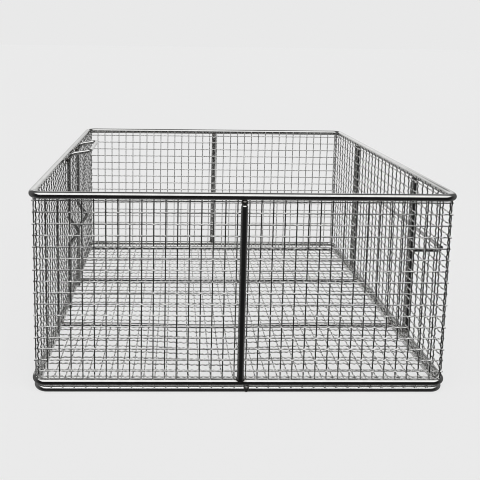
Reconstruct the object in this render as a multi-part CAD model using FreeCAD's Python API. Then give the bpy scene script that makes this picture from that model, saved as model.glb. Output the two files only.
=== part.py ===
"""Deep fryer basket in stainless wire mesh on a welded rod frame.

Millimetres, +Z up. X runs across the basket, Y from its front to its back, and the origin is
the middle of the base ring, on the surface that the basket stands on.
"""
import FreeCAD, Part
import math
import os

Vec = FreeCAD.Vector
AHEAD, UP = Vec(0, 1, 0), Vec(0, 0, 1)

# overall sizes
outer_width = 360.0
outer_depth = 343.0
rim_centre_height = 172.5
corner_radius = 10.0

# rods
rim_rod = 6.3
ring_rod = 5.5
post_rod = 6.0
floor_bar_rod = 4.0
bracket_rod = 4.0
hanger_rod = 4.0
cope = 1.2
rod_sides = 12

# crimped square mesh
wire = 1.2
mesh_cell = 10.0
top_row_below_rim = 5.7
wire_above_rim_centre = 1.0
wire_ends_inside_rim = 0.45
wires_per_ridge = 3.3
floor_tip = 1.0

# base: the floor mesh lies on the lower ring, with the ends of its wires under the upper ring
ring_step_in = 1.3
wire_play = 0.05

# handle bracket, a bent rod inside the left wall that a loose handle hooks on
bracket_spread = 58.0
bracket_bend = 9.0
shelf_reach = 22.5
shelf_height = 6.0
shelf_rise = 3.5
shelf_corner = 5.0
kink_height = 94.0
kink_half_height = 14.0
kink_depth = 10.7
kink_bend = 5.0

# hanger, a bar on two arms outside the right wall
hanger_height = 96.2
hanger_reach = 26.0
hanger_end = 4.8
arm_end = 2.0

# floor bars and side posts, as shares of the depth on each side of the middle
floor_bars_at = 1.0 / 6.0
side_posts_at = 1.0 / 4.0

# worked out from the sizes above
rim_x = (outer_width - rim_rod) / 2
rim_y = (outer_depth - rim_rod) / 2
face_x = rim_x - rim_rod / 2
face_y = rim_y - rim_rod / 2
mesh_thick = 2 * wire
inner_x = face_x - mesh_thick
inner_y = face_y - mesh_thick
upper_x = face_x + ring_rod / 2
upper_y = face_y + ring_rod / 2
lower_x = upper_x - ring_step_in
lower_y = upper_y - ring_step_in
lower_z = ring_rod / 2
upper_z = lower_z + ring_rod + wire + wire_play
tip_z = ring_rod
floor_mid_z = tip_z + wire / 2
wall_foot_z = tip_z + wire
wall_top_z = rim_centre_height + wire_above_rim_centre
top_row_z = rim_centre_height - top_row_below_rim
foot_row_z = upper_z
ridge_depth = 1.5 * wire
wire_area = math.pi * wire ** 2 / 4
floor_bar_z = floor_mid_z - wire - floor_bar_rod / 2
bracket_x = mesh_thick + bracket_rod / 2 - face_x
bracket_foot_z = floor_mid_z + wire
hanger_bar_z = hanger_height + hanger_rod
bar_x = rim_x + post_rod / 2 + hanger_reach
post_y = side_posts_at * 2 * rim_y


def mesh_half(width):
    """Half the span of the whole cells that fit in a width."""
    return int(width / mesh_cell) * mesh_cell / 2


def rounded_path(points, radius, closed=False):
    """A wire through points, each inner corner rounded by an arc of its own radius."""
    count = len(points)
    corners = range(count) if closed else range(1, count - 1)
    start, end = dict(enumerate(points)), dict(enumerate(points))
    arcs = {}
    for i in corners:
        corner = points[i]
        back = (points[i - 1] - corner).normalize()
        ahead = (points[(i + 1) % count] - corner).normalize()
        half = back.getAngle(ahead) / 2
        reach = radius[i] / math.tan(half)
        middle = (back + ahead).normalize() * (radius[i] / math.sin(half) - radius[i])
        start[i], end[i] = corner + back * reach, corner + ahead * reach
        arcs[i] = Part.Arc(start[i], corner + middle, end[i]).toShape()
    edges = []
    for i in range(count):
        if i in arcs:
            edges.append(arcs[i])
        if closed or i < count - 1:
            edges.append(Part.makeLine(end[i], start[(i + 1) % count]))
    return Part.Wire(edges)


def rod_section(at, along, flat, diameter):
    """The end face of a rod: a regular polygon round the true circle, one side facing flat."""
    out, side = Vec(flat).normalize(), along.cross(flat).normalize()
    radius = diameter / 2 / math.cos(math.pi / rod_sides)
    points = []
    for i in range(rod_sides + 1):
        angle = (2 * i + 1) * math.pi / rod_sides
        points.append(at + out * (radius * math.cos(angle)) + side * (radius * math.sin(angle)))
    return Part.Face(Part.makePolygon(points))


def bent_rod(path, diameter, flat):
    """A rod along a path. Its section is carried along and turned through each bend."""
    first = path.Edges[0]
    along = first.tangentAt(first.FirstParameter)
    section = rod_section(first.valueAt(first.FirstParameter), along, flat, diameter)
    pieces = []
    for edge in path.Edges:
        if isinstance(edge.Curve, Part.Circle):
            centre = edge.Curve.Center
            turn = math.degrees(edge.Length / edge.Curve.Radius)
            start = edge.FirstParameter
            axis = edge.tangentAt(start).cross(edge.normalAt(start))
            pieces.append(section.revolve(centre, axis, turn))
            section = section.rotated(centre, axis, turn)
        else:
            run = edge.tangentAt(edge.FirstParameter) * edge.Length
            pieces.append(section.extrude(run))
            section = section.translated(run)
    return fused(pieces)


def straight_rod(start, end, diameter, flat):
    along = (end - start).normalize()
    return rod_section(start, along, flat, diameter).extrude(end - start)


def ring(half_x, half_y, height, rod):
    """A rod bent into a rectangle with round corners, its ends welded together."""
    path = rounded_path(
        [
            Vec(half_x, -half_y, height),
            Vec(half_x, half_y, height),
            Vec(-half_x, half_y, height),
            Vec(-half_x, -half_y, height),
        ],
        [corner_radius] * 4,
        closed=True,
    )
    return bent_rod(path, rod, UP)


def post(x, y, rim, upper_ring):
    """An upright rod under the rim, its two ends coped to the rods that it is welded to."""
    low = upper_z + ring_rod / 2 - cope
    high = rim_centre_height - rim_rod / 2 + cope
    rod = straight_rod(Vec(x, y, low), Vec(x, y, high), post_rod, AHEAD)
    return rod.cut(rim).cut(upper_ring)


def floor_bar(y, lower_ring):
    """A rod across the base under the floor mesh, coped to the lower ring."""
    end = lower_x - ring_rod / 2 + cope
    start, stop = Vec(-end, y, floor_bar_z), Vec(end, y, floor_bar_z)
    rod = straight_rod(start, stop, floor_bar_rod, UP)
    return rod.cut(lower_ring)


def spaced(half, gaps):
    return [-half + 2 * half * i / gaps for i in range(gaps + 1)]


def fused(bars):
    return bars[0].multiFuse(bars[1:]).removeSplitter()


def wall_mesh(half, reach, rounds_corner):
    """A wall of the mesh, built along X with its outer face on Y = 0 and its depth on +Y.

    Upright ridges stand proud outside and level ridges inside. Each one has the steel of
    the wires that it stands for. A wall that rounds the corner has its end uprights under the
    rim's bend and over the upper ring's, and so they are shorter.
    """
    gaps = max(round(2 * half / (wires_per_ridge * mesh_cell)), 2)
    rows = max(round((top_row_z - foot_row_z) / (wires_per_ridge * mesh_cell)), 2)
    upright = wire_area * (2 * half / gaps) / mesh_cell / ridge_depth
    level = wire_area * ((top_row_z - foot_row_z) / rows) / mesh_cell / ridge_depth
    columns = spaced(half, gaps)
    bars = []
    for x in columns:
        short = rounds_corner and abs(x) == half
        low = upper_z + ring_rod / 2 if short else wall_foot_z
        high = rim_centre_height - rim_rod / 2 if short else wall_top_z
        bars.append(Part.makeBox(upright, ridge_depth, high - low, Vec(x - upright / 2, 0, low)))
    inner = columns[-2] if rounds_corner else half
    for i in range(rows + 1):
        z = foot_row_z + (top_row_z - foot_row_z) * i / rows
        side = reach if i else inner + upright / 2
        corner = Vec(-side, mesh_thick - ridge_depth, z - level / 2)
        bars.append(Part.makeBox(2 * side, ridge_depth, level, corner))
    return fused(bars)


def placed(shape, turn, x, y):
    moved = shape.copy()
    moved.Placement = FreeCAD.Placement(Vec(x, y, 0), FreeCAD.Rotation(UP, turn))
    return moved


def floor_ridge(half_body, half_tip, low, high, width):
    """One ridge of the floor along X: its body inside the rings and its thin ends between them."""
    body = Part.makeBox(2 * half_body, width, high - low, Vec(-half_body, -width / 2, low))
    tips = Part.makeBox(2 * half_tip, width, wire, Vec(-half_tip, -width / 2, tip_z))
    return body.fuse(tips)


def floor_mesh():
    """The floor: ridges along Y below, ridges along X above, all with their ends on the rings."""
    half_x = mesh_half(2 * inner_x - mesh_cell)
    half_y = mesh_half(2 * inner_y - mesh_cell)
    gaps_x = max(round(2 * half_x / (wires_per_ridge * mesh_cell)), 2)
    gaps_y = max(round(2 * half_y / (wires_per_ridge * mesh_cell)), 2)
    width_x = wire_area * (2 * half_y / gaps_y) / mesh_cell / ridge_depth
    width_y = wire_area * (2 * half_x / gaps_x) / mesh_cell / ridge_depth
    across = floor_ridge(inner_x, upper_x + floor_tip, tip_z, floor_mid_z + wire, width_x)
    along = floor_ridge(inner_y, upper_y + floor_tip, floor_mid_z - wire, wall_foot_z, width_y)
    bars = [placed(across, 0, 0, y) for y in spaced(half_y, gaps_y)]
    bars += [placed(along, 90, x, 0) for x in spaced(half_x, gaps_x)]
    return fused(bars)


def handle_bracket():
    """One rod: up the left wall, out in a blunt kink, over in a shelf, and down again."""
    half = bracket_spread / 2
    shelf_z = rim_centre_height + shelf_height
    side = [
        Vec(bracket_x, -half, bracket_foot_z),
        Vec(bracket_x, -half, kink_height - kink_half_height),
        Vec(bracket_x + kink_depth, -half, kink_height),
        Vec(bracket_x, -half, kink_height + kink_half_height),
        Vec(bracket_x, -half, shelf_z),
        Vec(bracket_x + shelf_reach, -half, shelf_z + shelf_rise),
    ]
    bends = [0, kink_bend, kink_bend, kink_bend, bracket_bend, shelf_corner]
    other = [Vec(p.x, -p.y, p.z) for p in reversed(side)]
    return bent_rod(rounded_path(side + other, bends + bends[::-1]), bracket_rod, AHEAD)


def hanger_arm(y, side_post):
    start = Vec(rim_x + post_rod / 2 - cope, y, hanger_height)
    end = Vec(bar_x + arm_end, y, hanger_height)
    return straight_rod(start, end, hanger_rod, UP).cut(side_post)


def hanger_bar():
    half = post_y + hanger_end
    start, end = Vec(bar_x, -half, hanger_bar_z), Vec(bar_x, half, hanger_bar_z)
    return straight_rod(start, end, hanger_rod, UP)


def build():
    front_reach = rim_x - wire_ends_inside_rim
    front_wall = wall_mesh(mesh_half(2 * front_reach), front_reach, True)
    side_wall = wall_mesh(mesh_half(2 * inner_y - mesh_cell), inner_y, False)
    parts = {
        "top_rim": ring(rim_x, rim_y, rim_centre_height, rim_rod),
        "upper_base_ring": ring(upper_x, upper_y, upper_z, ring_rod),
        "lower_base_ring": ring(lower_x, lower_y, lower_z, ring_rod),
        "front_mesh": placed(front_wall, 0, 0, -face_y),
        "back_mesh": placed(front_wall, 180, 0, face_y),
        "left_mesh": placed(side_wall, -90, -face_x, 0),
        "right_mesh": placed(side_wall, 90, face_x, 0),
        "floor_mesh": floor_mesh(),
        "handle_bracket": handle_bracket(),
        "hanger_bar": hanger_bar(),
    }
    rim, upper_ring, lower_ring = (
        parts["top_rim"], parts["upper_base_ring"], parts["lower_base_ring"])
    parts["front_post"] = post(0, -rim_y, rim, upper_ring)
    parts["back_post"] = post(0, rim_y, rim, upper_ring)
    for name, sign in (("front", -1), ("back", 1)):
        side_post = post(rim_x, sign * post_y, rim, upper_ring)
        parts["right_" + name + "_post"] = side_post
        parts["hanger_arm_" + name] = hanger_arm(sign * post_y, side_post)
        parts["floor_bar_" + name] = floor_bar(sign * floor_bars_at * 2 * rim_y, lower_ring)
    return parts


os.makedirs("parts", exist_ok=True)
for node, shape in build().items():
    solid = shape.Solids[0] if len(shape.Solids) == 1 else shape
    print(node, len(shape.Solids), shape.isValid(), round(shape.Volume, 1))
    solid.exportStep("parts/" + node + ".step")
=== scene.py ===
"""Deep fryer basket: crimped wire mesh welded to a frame of bent stainless rods.

Metres, in the part's own frame: X across, Y from front to back, Z up.
"""
import math

import bpy
import numpy as np
from mathutils import Matrix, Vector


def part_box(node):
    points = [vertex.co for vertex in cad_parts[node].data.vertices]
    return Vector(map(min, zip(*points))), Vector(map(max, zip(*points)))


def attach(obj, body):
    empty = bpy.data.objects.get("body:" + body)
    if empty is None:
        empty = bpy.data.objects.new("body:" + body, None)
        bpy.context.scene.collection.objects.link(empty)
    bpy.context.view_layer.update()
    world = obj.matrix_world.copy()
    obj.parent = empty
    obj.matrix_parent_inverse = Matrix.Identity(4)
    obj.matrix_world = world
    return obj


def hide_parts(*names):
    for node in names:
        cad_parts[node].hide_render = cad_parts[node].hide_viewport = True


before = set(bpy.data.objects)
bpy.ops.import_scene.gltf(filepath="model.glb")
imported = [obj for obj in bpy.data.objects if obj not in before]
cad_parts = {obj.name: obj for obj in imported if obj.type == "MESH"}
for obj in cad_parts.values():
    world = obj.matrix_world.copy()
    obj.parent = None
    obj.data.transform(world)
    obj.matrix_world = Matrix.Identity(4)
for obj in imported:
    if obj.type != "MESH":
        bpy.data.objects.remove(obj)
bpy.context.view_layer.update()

X, Y, Z = np.eye(3)

# crimped wire
cell = 0.010
wire = 0.0012
wire_sides = 8
steps_per_cell = 6
shortest_end_step = 0.3
crimp_between = 0.65
top_row_below_rim = 0.0057
wire_above_rim_centre = 0.001
wire_ends_inside_rim = 0.00045

# each panel's pitch and place, fitted to the photo's wires, so camera error is in them too
back_cell_x, back_cell_z, back_middle_x = 0.0098, 0.00965, -0.0013
side_cell_y, side_cell_z, side_middle_y, side_top_row = 0.01019, 0.00972, 0.0039, 0.0021
floor_cell_x, floor_cell_y = 0.00978, 0.01019
floor_lean, floor_lean_from = 0.011, -0.156
floor_tip = 0.0024

# the used floor's dish, its dent in the front bay, its crown, and the front bar's bow
dish_depth, dish_x, dish_width = 0.0005, -0.02, 0.06
dent_depth, dent_x, dent_width, dent_y, dent_length = 0.0033, -0.02, 0.05, -0.100, 0.036
crown_rise, crown_x, crown_width = 0.0007, 0.09, 0.04
wires_sink, bars_sink = 0.0045, 0.0008
bar_bow, bar_bow_x, bar_bow_width = 0.0025, -0.02, 0.08

# frame rods
corner_radius = 0.010
rod_sides = 28
steps_per_bend = 10
longest_step = 0.006
end_rounding = 0.0004
end_steps = 5
post_neck, post_shoulder = 0.0036, 0.0020

# handle bracket, sizes that its box doesn't give
bracket_rod = 0.004
bracket_bend = 0.009
shelf_reach = 0.0225
shelf_rise = 0.0035
shelf_corner = 0.005
kink_height = 0.094
kink_half_height = 0.014
kink_depth = 0.0107
kink_bend = 0.005

# weld beads, by half-sizes
bead_sides, bead_rings, bead_pole = 16, 10, 0.12
neck_bead = (0.0029, 0.0029, 0.0028)
neck_bead_drop = 0.55 * post_neck
foot_bead_along, foot_bead_out, foot_bead_up = 0.0039, 0.0030, 0.0024
foot_bead_sunk = 0.0004
seam_bead = (0.0029, 0.0036, 0.0035)
seam_x, seam_out, seam_up = 0.0053, 0.0003, 0.0008
joint_bead = (0.0016, 0.0024, 0.0022)
hanger_bead = (0.0018, 0.0022, 0.0016)
floor_bar_bead = (0.0018, 0.0026, 0.0016)
weld_reach = 0.005

# camera, fitted to the mesh's crossings in the photo; angles in radians, lengths in pixels
photo_size = 480
focal_length = 568.777
axis_across, axis_down = 180.82, 105.70
camera_pitch, camera_roll, camera_yaw = 0.113462, 0.010104, 0.017715
camera_place = (-0.0624440, -0.6249632, 0.2992609)
sensor = 36.0
pixel_blur = 1.0

# studio: strengths of paint and light, the softbox's angles in degrees up from the front, and
# where the room and its far wall begin and end, by the y and z of the direction looked in
floor_half = 30.0
floor_paint, floor_glow = 0.25, 0.69
backdrop = 0.815
softbox_light = 1.35
softbox_from, softbox_to, softbox_blur = 27.0, 85.0, 4.0
softbox_left, softbox_right, softbox_side_blur = -1.2, 1.3, 0.15
room_front, room_side = 0.015, 0.12
room_front_y, room_side_y = -0.6, 0.2
wall_low, wall_high = 0.58, 0.95
wall_near_y, wall_far_y = 0.65, 0.92
wall_low_z, wall_high_z = 0.15, 0.35
wall_fade_z, wall_end_z = 0.42, 0.50


def box_of(node):
    return [np.array(corner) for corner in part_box(node)]


def centre_of(node):
    low, high = box_of(node)
    return (low + high) / 2


def size_of(node):
    low, high = box_of(node)
    return high - low


def ends_of(node, axis):
    """The two ends of a straight rod's middle line, along axis 0, 1 or 2 of its node's box."""
    low, high = box_of(node)
    start = (low + high) / 2
    end = start.copy()
    start[axis], end[axis] = low[axis], high[axis]
    return start, end


# the frame's own sizes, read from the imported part
rim_rod = size_of("top_rim")[2]
rim_x, rim_y = (size_of("top_rim")[:2] - rim_rod) / 2
rim_z = centre_of("top_rim")[2]
ring_rod = size_of("lower_base_ring")[2]
face_x, face_y = rim_x - rim_rod / 2, rim_y - rim_rod / 2
inner_x, inner_y = face_x - 2 * wire, face_y - 2 * wire
upper_x, upper_y = (size_of("upper_base_ring")[:2] - ring_rod) / 2
lower_x, lower_y = (size_of("lower_base_ring")[:2] - ring_rod) / 2
upper_z = centre_of("upper_base_ring")[2]
lower_z = centre_of("lower_base_ring")[2]
ring_top_z = upper_z + ring_rod / 2
rim_foot_z = rim_z - rim_rod / 2
post_rod = size_of("front_post")[0]
posts = {"front_post": -Y, "back_post": Y, "right_front_post": X, "right_back_post": X}
side_posts = [centre_of("right_front_post"), centre_of("right_back_post")]
floor_bars = ("floor_bar_front", "floor_bar_back")
hanger_arms = ("hanger_arm_front", "hanger_arm_back")
bracket_low, bracket_high = box_of("handle_bracket")
leg_x = bracket_low[0] + bracket_rod / 2
leg_y = bracket_high[1] - bracket_rod / 2


# shapes, each as its points, its quads, and a mark for each quad on a cut wire end
def unit(vectors):
    return vectors / np.linalg.norm(vectors, axis=-1, keepdims=True)


def hill(value, middle, width):
    """A smooth hill of height 1: exp(-((value - middle) / width)^2)."""
    return np.exp(-((value - middle) / width) ** 2)


def bent_line(corners, bends, closed=False):
    """Points along straight runs joined by arcs.

    At a corner with runs back and ahead of it, the arc's centre lies on their bisector at
    bend / sin(half the angle), and the arc starts and ends bend / tan(half the angle) away.
    """
    count = len(corners)
    corners = np.asarray(corners, float)
    line = []
    for i in range(count):
        at = corners[i]
        if not closed and i in (0, count - 1):
            line.append(at[None])
            continue
        back = unit(corners[i - 1] - at)
        ahead = unit(corners[(i + 1) % count] - at)
        half = math.acos(np.dot(back, ahead)) / 2
        centre = at + unit(back + ahead) * bends[i] / math.sin(half)
        out = unit(-back - ahead)
        side = unit(ahead - back)
        turn = np.linspace(half - math.pi / 2, math.pi / 2 - half, steps_per_bend + 1)[:, None]
        line.append(centre + bends[i] * (out * np.cos(turn) + side * np.sin(turn)))
    runs = []
    for i, points in enumerate(line):
        runs.append(points)
        if closed or i < count - 1:
            start, end = points[-1], line[(i + 1) % count][0]
            steps = max(int(np.linalg.norm(end - start) / longest_step), 1)
            runs.append(start + (end - start) * np.linspace(0, 1, steps + 1)[1:-1, None])
    return np.concatenate(runs)


def tube_faces(stations, sides, closed):
    """Quads of a tube: corner (i, j), (i, j+1), (i+1, j+1), (i+1, j), j running round it.

    An open tube has its ends filled by fans of quads, which come last.
    """
    i, j = np.meshgrid(np.arange(stations if closed else stations - 1), np.arange(sides), indexing="ij")
    i2, j2 = (i + 1) % stations, (j + 1) % sides
    quads = np.stack([i * sides + j, i * sides + j2, i2 * sides + j2, i2 * sides + j], -1).reshape(-1, 4)
    if closed:
        return quads
    fan = np.arange(1, sides - 1, 2)
    first = np.stack([0 * fan, fan + 2, fan + 1, fan], -1) % sides
    last = (stations - 1) * sides + first[:, ::-1]
    return np.concatenate([quads, first, last])


def uncut(quads):
    return np.zeros(len(quads), bool)


def rod(line, diameter, reference, closed=False, rounding=(end_rounding, end_rounding)):
    """Surface of a round rod: p(s, a) = line(s) + r (n cos a + b sin a).

    n is the reference direction made square to the line, and b = t x n. An open rod's ends are
    rounded off: at a distance e (1 - cos u) from the tip the radius is r - e (1 - sin u), with
    e the rounding of that end.
    """
    if closed:
        along = np.roll(line, -1, 0) - np.roll(line, 1, 0)
        radius = np.full(len(line), diameter / 2)
    else:
        turn = np.linspace(0, math.pi / 2, end_steps)[:, None]
        start, end = unit(line[1] - line[0]), unit(line[-2] - line[-1])
        line = np.concatenate([
            line[0] + start * rounding[0] * (1 - np.cos(turn)), line[1:-1],
            line[-1] + end * rounding[1] * (1 - np.cos(turn[::-1]))])
        along = np.gradient(line, axis=0)
        radius = np.full(len(line), diameter / 2)
        radius[:end_steps] -= rounding[0] * (1 - np.sin(turn[:, 0]))
        radius[-end_steps:] -= rounding[1] * (1 - np.sin(turn[::-1, 0]))
    along = unit(along)
    n = unit(reference - np.sum(reference * along, -1, keepdims=True) * along)
    b = np.cross(along, n)
    angle = np.arange(rod_sides) * 2 * math.pi / rod_sides
    ring = n[:, None] * np.cos(angle)[:, None] + b[:, None] * np.sin(angle)[:, None]
    points = line[:, None] + radius[:, None, None] * ring
    quads = tube_faces(len(line), rod_sides, closed)
    return points.reshape(-1, 3), quads, uncut(quads)


def straight_rod(start, end, diameter, reference, **ends):
    return rod(bent_line([start, end], [0, 0]), diameter, reference, **ends)


def ring_of_rod(half_x, half_y, height, diameter):
    corners = [(half_x, -half_y, height), (half_x, half_y, height),
               (-half_x, half_y, height), (-half_x, -half_y, height)]
    return rod(bent_line(corners, [corner_radius] * 4, closed=True), diameter, Z, closed=True)


def crimped(places, start, end, crossings, first_up, axes, settle=0.0, lean=0.0, drift=0.0):
    """Crimped wires side by side, as one surface.

    In the directions (s along, v across, w through the cloth), wire i has its middle at
    (s, places[i], c). With q = pi (s - crossings[0]) / pitch and k = crimp_between,
    c = up_i (wire / 2) ((1 - k) cos q + k cos 3q): over and under at the crossings, with a
    smaller crimp on each side of the middle of a cell. up_i is +1 and -1 in turn, from
    first_up on. The section is a circle square to that curve. Over the last `settle` of each
    end c fades to zero. A lean adds lean * s to v, and a drift adds drift * v to the
    crossings' places. `axes` are the part's directions of s, v and w.
    """
    crossing, pitch = crossings[0], abs(crossings[1] - crossings[0])
    step = pitch / steps_per_cell
    first = math.ceil((start - crossing) / step + shortest_end_step)
    last = math.floor((end - crossing) / step - shortest_end_step)
    s = np.concatenate([[start], crossing + step * np.arange(first, last + 1), [end]])
    fade = np.ones_like(s)
    if settle:
        reach = np.clip(np.minimum(s - start, end - s) / settle, 0, 1)
        fade = reach * reach * (3 - 2 * reach)
    up = first_up * (-1.0) ** np.arange(len(places))[:, None]
    places = np.asarray(places)[:, None]
    q = math.pi / pitch * (s - crossing - drift * places)
    c = up * wire / 2 * ((1 - crimp_between) * np.cos(q) + crimp_between * np.cos(3 * q)) * fade
    slope = np.gradient(c, s, axis=1)
    angle = (np.arange(wire_sides) + 0.5) * 2 * math.pi / wire_sides
    tilt = 1 / np.sqrt(1 + slope ** 2)[..., None]
    r = wire / 2
    ds = -slope[..., None] * tilt * r * np.cos(angle)
    dw = tilt * r * np.cos(angle)
    dv = r * np.sin(angle)
    local = np.stack([
        s[None, :, None] + ds,
        (places + lean * s)[..., None] + dv,
        c[..., None] + dw], -1)
    points = local.reshape(-1, 3) @ np.array(axes)
    quads = tube_faces(len(s), wire_sides, False)
    if np.linalg.det(np.array(axes)) > 0:
        quads = quads[:, ::-1]
    cut = np.arange(len(quads)) >= (len(s) - 1) * wire_sides
    quads = (quads[None] + len(s) * wire_sides * np.arange(len(places))[:, None, None]).reshape(-1, 4)
    return points, quads, np.tile(cut, len(places))


def bead(centre, half, ripple=0.07, waves=5):
    """A weld bead: a ball of half-sizes `half`, its radius times 1 + ripple sin(waves u) sin(3 v)."""
    u, v = np.meshgrid(np.linspace(0, 2 * math.pi, bead_sides, endpoint=False),
                       np.linspace(bead_pole, math.pi - bead_pole, bead_rings))
    scale = 1 + ripple * np.sin(waves * u) * np.sin(3 * v)
    ball = np.stack([np.cos(u) * np.sin(v), np.sin(u) * np.sin(v), -np.cos(v)], -1) * scale[..., None]
    points = np.asarray(centre) + ball * np.asarray(half)
    quads = tube_faces(bead_rings, bead_sides, False)
    return points.reshape(-1, 3), quads, uncut(quads)


def dished(surface, deepest):
    """Bends floor wires and bars as in the photo.

    z rises by crown - dish - dent, and sinks by `deepest` at most. The crown and the dish fade
    towards the front and back rings by cos(pi y / 2 rim_y) and its square.
    """
    x, y, z = surface[0].T
    inward = np.cos(math.pi * np.clip(y / rim_y, -1, 1) / 2)
    rise = (-dish_depth * hill(x, dish_x, dish_width) * inward ** 2
            - dent_depth * hill(x, dent_x, dent_width) * hill(y, dent_y, dent_length)
            + crown_rise * hill(x, crown_x, crown_width) * inward)
    return np.stack([x, y, z + np.maximum(rise, -deepest)], -1), *surface[1:]


def moved(surface, offset):
    return surface[0] + np.asarray(offset), *surface[1:]


def joined(surfaces):
    points, quads, cut = zip(*surfaces)
    starts = np.cumsum([0] + [len(p) for p in points[:-1]])
    return np.concatenate(points), np.concatenate([q + s for q, s in zip(quads, starts)]), np.concatenate(cut)


# where the steel was welded
post_ends = [(x, y, z) for x, y, _ in map(centre_of, posts) for z in (rim_foot_z, ring_top_z)]
bracket_joints = [(bracket_low[0], side * leg_y, rim_z) for side in (-1, 1)]
arm_z = centre_of("hanger_arm_front")[2]
hanger_x, _, hanger_z = centre_of("hanger_bar")
arm_joints = [(at[0] + post_rod / 2, at[1], arm_z) for at in side_posts]
hanger_joints = [(hanger_x, at[1], (arm_z + hanger_z) / 2) for at in side_posts]
bar_z = centre_of("floor_bar_front")[2]
bar_joints = [(side * (lower_x - ring_rod / 2), centre_of(node)[1], bar_z)
              for side in (-1, 1) for node in floor_bars]
welds = np.array(post_ends + bracket_joints + arm_joints + hanger_joints + bar_joints)


# finishes
cloud_scale, pit_scale, tint_scale = 90.0, 1400.0, 500.0
noise_low, noise_high = 0.3, 0.7
tint_patch = 0.2
tint_from, tint_full = 0.3, 0.95
bump_strength = 0.3


def group(name, inputs, outputs):
    tree = bpy.data.node_groups.new(name, "ShaderNodeTree")
    for label, kind, value in inputs:
        socket = tree.interface.new_socket(label, in_out="INPUT", socket_type=kind)
        if value is not None:
            socket.default_value = value
    for label, kind in outputs:
        tree.interface.new_socket(label, in_out="OUTPUT", socket_type=kind)
    return tree, tree.nodes.new("NodeGroupInput"), tree.nodes.new("NodeGroupOutput")


def noise_value(tree, vector, scale, detail=3.0, rough=0.55):
    noise = tree.nodes.new("ShaderNodeTexNoise")
    noise.inputs["Scale"].default_value = scale
    noise.inputs["Detail"].default_value = detail
    noise.inputs["Roughness"].default_value = rough
    tree.links.new(vector, noise.inputs["Vector"])
    return noise.outputs["Fac"]


def mapped(tree, value, low, high, to_low, to_high):
    node = tree.nodes.new("ShaderNodeMapRange")
    node.inputs["From Min"].default_value = low
    node.inputs["From Max"].default_value = high
    tree.links.new(value, node.inputs["Value"])
    for socket, end in (("To Min", to_low), ("To Max", to_high)):
        if isinstance(end, (int, float)):
            node.inputs[socket].default_value = end
        else:
            tree.links.new(end, node.inputs[socket])
    return node.outputs["Result"]


def calculated(tree, operation, *terms):
    node = tree.nodes.new("ShaderNodeMath")
    node.operation = operation
    for socket, term in zip(node.inputs, terms):
        if isinstance(term, (int, float)):
            socket.default_value = term
        else:
            tree.links.new(term, socket)
    return node.outputs[0]


def make_polish():
    """Electropolished steel: long cloudy patches in gloss, and fine pits for the bump."""
    tree, given, out = group(
        "electropolish",
        [("Vector", "NodeSocketVector", None), ("Gloss low", "NodeSocketFloat", 0.2),
         ("Gloss high", "NodeSocketFloat", 0.35)],
        [("Roughness", "NodeSocketFloat"), ("Height", "NodeSocketFloat"), ("Cloud", "NodeSocketFloat")])
    cloud = noise_value(tree, given.outputs["Vector"], cloud_scale)
    low, high = given.outputs["Gloss low"], given.outputs["Gloss high"]
    tree.links.new(mapped(tree, cloud, noise_low, noise_high, low, high), out.inputs["Roughness"])
    tree.links.new(noise_value(tree, given.outputs["Vector"], pit_scale, 2.0), out.inputs["Height"])
    tree.links.new(cloud, out.inputs["Cloud"])
    return tree


def make_heat_tint():
    """Colour of steel near a weld: the clean colour, then grey-brown scale as Weld nears 1."""
    tree, given, out = group(
        "heat_tint",
        [("Vector", "NodeSocketVector", None), ("Clean", "NodeSocketColor", (0.6, 0.6, 0.6, 1)),
         ("Scale", "NodeSocketColor", (0.2, 0.18, 0.16, 1)), ("Weld", "NodeSocketFloat", 0.0)],
        [("Color", "NodeSocketColor"), ("Mask", "NodeSocketFloat")])
    noise = noise_value(tree, given.outputs["Vector"], tint_scale)
    patch = mapped(tree, noise, noise_low, noise_high, -tint_patch, tint_patch)
    total = calculated(tree, "ADD", given.outputs["Weld"], patch)
    mask = mapped(tree, total, tint_from, tint_full, 0.0, 1.0)
    mix = tree.nodes.new("ShaderNodeMix")
    mix.data_type = "RGBA"
    tree.links.new(mask, mix.inputs["Factor"])
    tree.links.new(given.outputs["Clean"], mix.inputs["A"])
    tree.links.new(given.outputs["Scale"], mix.inputs["B"])
    tree.links.new(mix.outputs["Result"], out.inputs["Color"])
    tree.links.new(mask, out.inputs["Mask"])
    return tree


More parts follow.
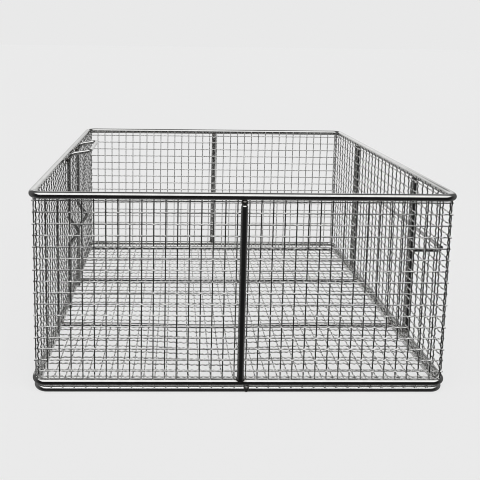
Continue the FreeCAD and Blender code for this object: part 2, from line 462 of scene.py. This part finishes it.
def steel(name, bright, dull, scale_colour, gloss, pit_height):
    """A steel finish: base colour clouded between bright and dull, scaled near welds."""
    material = bpy.data.materials.new(name)
    material.use_nodes = True
    tree = material.node_tree
    shader = tree.nodes["Principled BSDF"]
    shader.inputs["Metallic"].default_value = 1.0
    place = tree.nodes.new("ShaderNodeTexCoord").outputs["Object"]
    surface = tree.nodes.new("ShaderNodeGroup")
    surface.node_tree = polish
    surface.inputs["Gloss low"].default_value, surface.inputs["Gloss high"].default_value = gloss
    tree.links.new(place, surface.inputs["Vector"])
    clean = tree.nodes.new("ShaderNodeMix")
    clean.data_type = "RGBA"
    clean.inputs["A"].default_value = (*dull, 1)
    clean.inputs["B"].default_value = (*bright, 1)
    cloud = mapped(tree, surface.outputs["Cloud"], noise_low, noise_high, 0.0, 1.0)
    tree.links.new(cloud, clean.inputs["Factor"])
    tint = tree.nodes.new("ShaderNodeGroup")
    tint.node_tree = heat_tint
    tint.inputs["Scale"].default_value = (*scale_colour, 1)
    weld = tree.nodes.new("ShaderNodeAttribute")
    weld.attribute_name = "weld"
    tree.links.new(place, tint.inputs["Vector"])
    tree.links.new(clean.outputs["Result"], tint.inputs["Clean"])
    tree.links.new(weld.outputs["Fac"], tint.inputs["Weld"])
    tree.links.new(tint.outputs["Color"], shader.inputs["Base Color"])
    tree.links.new(surface.outputs["Roughness"], shader.inputs["Roughness"])
    bump = tree.nodes.new("ShaderNodeBump")
    bump.inputs["Strength"].default_value = bump_strength
    bump.inputs["Distance"].default_value = pit_height
    tree.links.new(surface.outputs["Height"], bump.inputs["Height"])
    tree.links.new(bump.outputs["Normal"], shader.inputs["Normal"])
    return material


def grey(value):
    """Steel grey, with a little less blue than red and green."""
    return value, value, value - 0.01


polish = make_polish()
heat_tint = make_heat_tint()
brown_scale, dark_scale = (0.22, 0.20, 0.18), (0.20, 0.18, 0.16)
black_scale, pale_scale = (0.16, 0.15, 0.14), (0.40, 0.38, 0.36)
frame_steel = steel("frame_steel", grey(0.70), grey(0.60), brown_scale, (0.07, 0.13), 4e-6)
# the lower base ring: frame steel made rougher and painted paler, a painted highlight that widens and whitens
# the band it reflects
lower_ring_highlight_steel = steel("lower_ring_painted_highlight_steel", grey(0.95), grey(0.88), brown_scale, (0.20, 0.26), 6e-6)
fitting_steel = steel("fitting_steel", grey(0.82), grey(0.72), dark_scale, (0.12, 0.20), 6e-6)
wire_steel = steel("wire_steel", grey(0.92), grey(0.84), brown_scale, (0.07, 0.13), 4e-6)
# the back wall's wires: wire steel made rougher and painted paler, painted light that makes the back wall
# read brighter than the front
dull_back_wire_painted_light = steel("dull_back_wire_painted_light", grey(0.97), grey(0.93), pale_scale, (0.65, 0.75), 4e-6)
cut_steel = steel("cut_wire_end", grey(0.86), grey(0.74), pale_scale, (0.55, 0.70), 2e-5)
bead_steel = steel("weld_bead", (0.40, 0.39, 0.37), (0.24, 0.23, 0.22), black_scale, (0.28, 0.42), 4e-5)


# pieces
sharp_edge = math.radians(50)


def piece(name, surface, material, replaced=()):
    """Puts a surface into a mesh. Its attribute "weld" is exp(-(distance to a weld / reach)^2)."""
    points, quads, cut = surface
    mesh = bpy.data.meshes.new(name)
    mesh.vertices.add(len(points))
    mesh.vertices.foreach_set("co", points.astype(np.float32).ravel())
    mesh.loops.add(quads.size)
    mesh.loops.foreach_set("vertex_index", quads.astype(np.int32).ravel())
    mesh.polygons.add(len(quads))
    mesh.polygons.foreach_set("loop_start", np.arange(0, quads.size, 4, dtype=np.int32))
    mesh.polygons.foreach_set("material_index", cut.astype(np.int32))
    mesh.update(calc_edges=True)
    mesh.validate()
    mesh.shade_smooth()
    mesh.set_sharp_from_angle(angle=sharp_edge)
    nearest = np.full(len(points), np.inf)
    for weld in welds:
        nearest = np.minimum(nearest, np.linalg.norm(points - weld, axis=1))
    closeness = mesh.attributes.new("weld", "FLOAT", "POINT")
    closeness.data.foreach_set("value", hill(nearest, 0, weld_reach).astype(np.float32))
    mesh.materials.append(material)
    if cut.any():
        mesh.materials.append(cut_steel)
    made = bpy.data.objects.new(name, mesh)
    bpy.context.scene.collection.objects.link(made)
    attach(made, "root")
    if replaced:
        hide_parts(*replaced)


# mesh panels
def spaced(half):
    return np.arange(-half, half + cell / 2, cell)


def cells_half(width):
    return int(width / cell + 1e-6) * cell / 2


front_reach = rim_x - wire_ends_inside_rim
side_reach = rim_y - wire_ends_inside_rim
side_half = cells_half(2 * inner_y - cell)
floor_half_x = cells_half(2 * inner_x - cell)
floor_mid_z = lower_z + ring_rod / 2 + wire / 2
corner_upright_y = face_y + wire
wall_foot_z = lower_z + ring_rod / 2 + wire
wall_top_z = rim_z + wire_above_rim_centre
top_row_z = rim_z - top_row_below_rim
front_rows = np.arange(top_row_z, ring_top_z, -cell)


def scaled_rows(lift, pitch):
    return top_row_z + lift - (top_row_z - front_rows) * pitch / cell


def long_wall(outward, columns, rows):
    """Uprights and rows of the front or back wall; `outward` is the wall's outer side."""
    uprights = crimped(columns[1:-1], wall_foot_z, wall_top_z, rows, 1, [Z, X, outward])
    ends = [crimped(columns[[i]], ring_top_z, rim_foot_z, rows, up, [Z, X, outward])
            for i, up in ((0, -1), (-1, -(-1) ** (len(columns) - 1)))]
    levels = crimped(rows, -front_reach, front_reach, columns, 1, [X, Z, outward])
    return moved(joined([uprights, *ends, levels]), outward * (face_y - wire))


def side_wall(outward):
    """Uprights and rows of a side wall; its last uprights stand outside the front and back."""
    columns = side_middle_y + spaced(side_half) * side_cell_y / cell
    rows = scaled_rows(side_top_row, side_cell_z)
    corners = np.array([-1, 1]) * corner_upright_y
    uprights = crimped(columns, wall_foot_z, wall_top_z, rows, 1, [Z, Y, outward])
    ends = crimped(corners, ring_top_z, rim_foot_z, rows, 1, [Z, Y, outward])
    levels = crimped(rows, -side_reach, side_reach, columns, -1, [Y, Z, outward])
    return moved(joined([uprights, ends, levels]), outward * (face_x - wire))


def floor_wires(places, crossings, reach, first_up, axes, **skew):
    """Floor wires one way, level where their ends lie between the base rings."""
    settle = reach - abs(crossings[0])
    flat = crimped(places, -reach, reach, crossings, first_up, axes, settle, **skew)
    return dished(moved(flat, (0, 0, floor_mid_z)), wires_sink)


def mesh_piece(name, surface, material, node):
    piece(name, surface, material, [node])


front_columns = spaced(cells_half(2 * front_reach))
back_columns = back_middle_x + front_columns * back_cell_x / cell
back_rows = scaled_rows(0, back_cell_z)
mesh_piece("front_mesh_wires", long_wall(-Y, front_columns, front_rows), wire_steel, "front_mesh")
# the back wall takes the paler wire steel with its painted light
mesh_piece("back_mesh_wires", long_wall(Y, back_columns, back_rows), dull_back_wire_painted_light, "back_mesh")
mesh_piece("left_mesh_wires", side_wall(-X), wire_steel, "left_mesh")
mesh_piece("right_mesh_wires", side_wall(X), wire_steel, "right_mesh")
across_at = -side_half + (spaced(side_half) + side_half) * floor_cell_y / cell
along_at = spaced(floor_half_x) * floor_cell_x / cell - floor_lean * floor_lean_from
across = floor_wires(across_at, along_at, upper_x + floor_tip, 1, [X, Y, Z], drift=floor_lean)
along = floor_wires(along_at, across_at, upper_y + floor_tip, -1, [Y, X, Z], lean=floor_lean)
mesh_piece("floor_wires_across", across, wire_steel, "floor_mesh")
mesh_piece("floor_wires_along", along, wire_steel, "floor_mesh")


# frame rods and fittings
def frame_piece(node, name, surface, material=frame_steel):
    piece(name, surface, material, [node])


def fitting_piece(node, surface):
    piece("round_" + node, surface, fitting_steel, [node])


def post(node):
    """A post that ends under the rim in a rounded shoulder."""
    foot, top = ends_of(node, 2)
    top[2] = rim_foot_z - post_neck
    return straight_rod(foot, top, post_rod, Y, rounding=(end_rounding, post_shoulder))


def floor_bar(node, bow):
    """A bar under the floor, bowed to the front by bow * hill(x) and bent with the floor."""
    line = bent_line(ends_of(node, 0), [0, 0])
    line[:, 1] -= bow * hill(line[:, 0], bar_bow_x, bar_bow_width)
    return dished(rod(line, size_of(node)[2], Z), bars_sink)


def bracket():
    """The bracket's one rod: up the wall, a blunt kink, over in the shelf, and down again."""
    shelf_top = bracket_high[2] - bracket_rod / 2
    side = np.array([
        (leg_x, -leg_y, bracket_low[2]),
        (leg_x, -leg_y, kink_height - kink_half_height),
        (leg_x + kink_depth, -leg_y, kink_height),
        (leg_x, -leg_y, kink_height + kink_half_height),
        (leg_x, -leg_y, shelf_top - shelf_rise),
        (leg_x + shelf_reach, -leg_y, shelf_top)])
    bends = [0, kink_bend, kink_bend, kink_bend, bracket_bend, shelf_corner]
    corners = np.concatenate([side, side[::-1] * (1, -1, 1)])
    never_along_the_rod = unit(np.array([0.3, 0.8, -0.5]))
    return rod(bent_line(corners, bends + bends[::-1]), bracket_rod, never_along_the_rod)


frame_piece("top_rim", "round_top_rim", ring_of_rod(rim_x, rim_y, rim_z, rim_rod))
frame_piece("upper_base_ring", "round_upper_ring", ring_of_rod(upper_x, upper_y, upper_z, ring_rod))
# the lower ring takes the paler steel with its painted highlight
frame_piece("lower_base_ring", "round_lower_ring", ring_of_rod(lower_x, lower_y, lower_z, ring_rod),
            lower_ring_highlight_steel)
for node in posts:
    frame_piece(node, "round_" + node, post(node))
for node, bow in zip(floor_bars, (bar_bow, 0.0)):
    frame_piece(node, "round_" + node, floor_bar(node, bow))
for node in hanger_arms:
    fitting_piece(node, straight_rod(*ends_of(node, 0), size_of(node)[2], Z))
fitting_piece("hanger_bar", straight_rod(*ends_of("hanger_bar", 1), size_of("hanger_bar")[2], Z))
fitting_piece("handle_bracket", bracket())


# weld beads
def post_neck_bead(at):
    return bead((at[0], at[1], rim_foot_z - neck_bead_drop), neck_bead, 0.05)


def post_foot_bead(at, outward):
    half = (foot_bead_along * np.abs(np.cross(outward, Z)) + foot_bead_out * np.abs(outward)
            + foot_bead_up * Z)
    return bead((at[0], at[1], ring_top_z - foot_bead_sunk), half, 0.03)


def seam_of_lower_ring():
    return bead((seam_x, -lower_y - seam_out, lower_z + seam_up), seam_bead, 0.03, 3)


post_beads = []
for node, outward in posts.items():
    post_beads += [post_neck_bead(centre_of(node)), post_foot_bead(centre_of(node), outward)]
fitting_beads = [bead(at, joint_bead) for at in bracket_joints + arm_joints]
fitting_beads += [bead(at, hanger_bead) for at in hanger_joints]
fitting_beads += [bead(at, floor_bar_bead) for at in bar_joints]
piece("post_weld_beads", joined([*post_beads, seam_of_lower_ring()]), bead_steel)
piece("fitting_weld_beads", joined(fitting_beads), bead_steel)


# studio
def make_camera():
    """The photo's camera: turned by roll about Y, pitch about X and yaw about Z, axis off centre."""
    turn = (Matrix.Rotation(camera_yaw, 3, "Z") @ Matrix.Rotation(camera_pitch, 3, "X")
            @ Matrix.Rotation(camera_roll, 3, "Y"))
    right, ahead, up = turn
    data = bpy.data.cameras.new("photo_camera")
    data.sensor_fit, data.sensor_width = "HORIZONTAL", sensor
    data.lens = focal_length / photo_size * sensor
    data.shift_x = 0.5 - axis_across / photo_size
    data.shift_y = axis_down / photo_size - 0.5
    data.clip_start, data.clip_end = 0.01, 100.0
    camera = bpy.data.objects.new("photo_camera", data)
    place = Matrix((right, up, -ahead)).transposed().to_4x4()
    place.translation = camera_place
    camera.matrix_world = place
    bpy.context.scene.collection.objects.link(camera)
    bpy.context.scene.camera = camera


def make_floor():
    """A plain pale floor that glows a little, and that the metal doesn't mirror."""
    half = floor_half
    corners = [(-half, -half, 0), (half, -half, 0), (half, half, 0), (-half, half, 0)]
    mesh = bpy.data.meshes.new("studio_floor")
    mesh.from_pydata(corners, [], [(0, 1, 2, 3)])
    material = bpy.data.materials.new("pale_floor")
    material.use_nodes = True
    shader = material.node_tree.nodes["Principled BSDF"]
    shader.inputs["Base Color"].default_value = (floor_paint, floor_paint, floor_paint, 1)
    shader.inputs["Roughness"].default_value = 1.0
    shader.inputs["Specular IOR Level"].default_value = 0.0
    shader.inputs["Emission Color"].default_value = (1, 1, 1, 1)
    shader.inputs["Emission Strength"].default_value = floor_glow
    mesh.materials.append(material)
    floor = bpy.data.objects.new("studio_floor", mesh)
    floor.visible_glossy = False
    bpy.context.scene.collection.objects.link(floor)


def between(tree, value, start, end, blur):
    """1 where value lies between start and end, fading to 0 over blur on both sides."""
    rise = mapped(tree, value, start - blur, start + blur, 0.0, 1.0)
    fall = mapped(tree, value, end - blur, end + blur, 1.0, 0.0)
    return calculated(tree, "MULTIPLY", rise, fall)


def softbox(tree, x, y, z):
    """The light above and before the basket, by its angle up from the front and by x / z."""
    lift = calculated(tree, "ARCTAN2", z, calculated(tree, "MULTIPLY", y, -1.0))
    sideways = calculated(tree, "DIVIDE", x, calculated(tree, "MAXIMUM", z, 0.001))
    low, high, blur = (math.radians(a) for a in (softbox_from, softbox_to, softbox_blur))
    panel = calculated(tree, "MULTIPLY", between(tree, lift, low, high, blur),
                       between(tree, sideways, softbox_left, softbox_right, softbox_side_blur))
    return calculated(tree, "MULTIPLY", panel, softbox_light)


def pale_wall(tree, y, z):
    """The wall low behind the basket, brighter upwards until it ends."""
    near = mapped(tree, y, wall_near_y, wall_far_y, 0.0, 1.0)
    shade = mapped(tree, z, wall_low_z, wall_high_z, wall_low, wall_high)
    end = mapped(tree, z, wall_fade_z, wall_end_z, 1.0, 0.0)
    return calculated(tree, "MULTIPLY", near, calculated(tree, "MULTIPLY", shade, end))


def make_studio_light():
    """A pale backdrop for the camera. The metal sees a softbox, a pale wall low behind it, and
    a dim room elsewhere, darkest on the camera's side."""
    world = bpy.data.worlds.new("studio")
    bpy.context.scene.world = world
    world.use_nodes = True
    tree = world.node_tree
    background = tree.nodes["Background"]
    parts = tree.nodes.new("ShaderNodeSeparateXYZ")
    tree.links.new(tree.nodes.new("ShaderNodeTexCoord").outputs["Generated"], parts.inputs["Vector"])
    x, y, z = (parts.outputs[axis] for axis in "XYZ")
    dim = mapped(tree, y, room_front_y, room_side_y, room_front, room_side)
    room = calculated(tree, "ADD", dim, pale_wall(tree, y, z))
    light = calculated(tree, "MAXIMUM", room, softbox(tree, x, y, z))
    seen = tree.nodes.new("ShaderNodeLightPath").outputs["Is Camera Ray"]
    tree.links.new(mapped(tree, seen, 0.0, 1.0, light, backdrop), background.inputs["Strength"])
    background.inputs["Color"].default_value = (1, 1, 1, 1)


make_camera()
make_floor()
make_studio_light()
bpy.context.scene.view_settings.view_transform = "Standard"
bpy.context.scene.cycles.filter_width = pixel_blur
